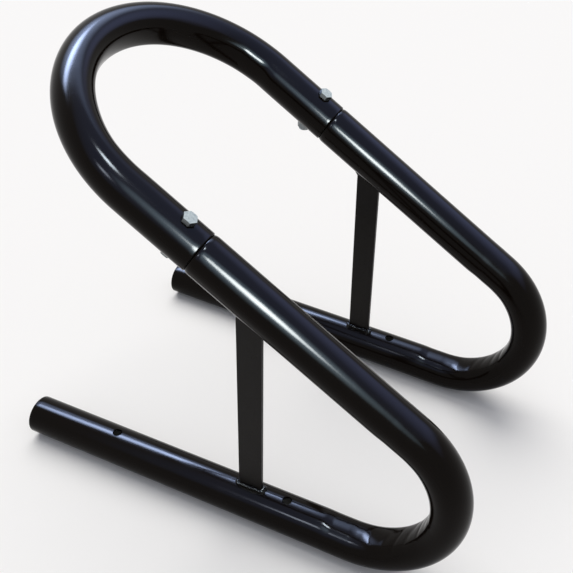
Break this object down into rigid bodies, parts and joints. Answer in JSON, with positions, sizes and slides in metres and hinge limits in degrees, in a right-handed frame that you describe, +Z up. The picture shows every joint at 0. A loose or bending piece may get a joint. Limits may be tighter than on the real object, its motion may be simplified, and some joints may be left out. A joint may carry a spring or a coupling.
{
  "type": "motorcycle wheel chock",
  "caption": "Bent tube chock that holds a motorcycle's front wheel upright: two braced side frames that bolt down to a floor, joined by a hoop bolted over their ends.",
  "frame": {"origin": "middle of the footprint, on the floor", "axes": "+X to the low rear bends where the wheel rolls in, +Z up, left side frame at -Y"},
  "size_m": [0.5285, 0.3546, 0.4771],
  "materials": {
    "tube_enamel": "gloss",
    "brace_enamel": "satin",
    "weld_enamel": "gloss",
    "zinc": "satin"
  },
  "bodies": {
    "root": {"left_side_tube": "tube_enamel", "right_side_tube": "tube_enamel", "hoop_tube": "tube_enamel", "left_brace": "brace_enamel", "right_brace": "brace_enamel", "left_brace_foot_weld": "weld_enamel", "left_brace_head_weld": "weld_enamel", "right_brace_foot_weld": "weld_enamel", "right_brace_head_weld": "weld_enamel", "left_bolt": "zinc", "right_bolt": "zinc", "left_nut": "zinc", "right_nut": "zinc"}
  },
  "joints": []
}
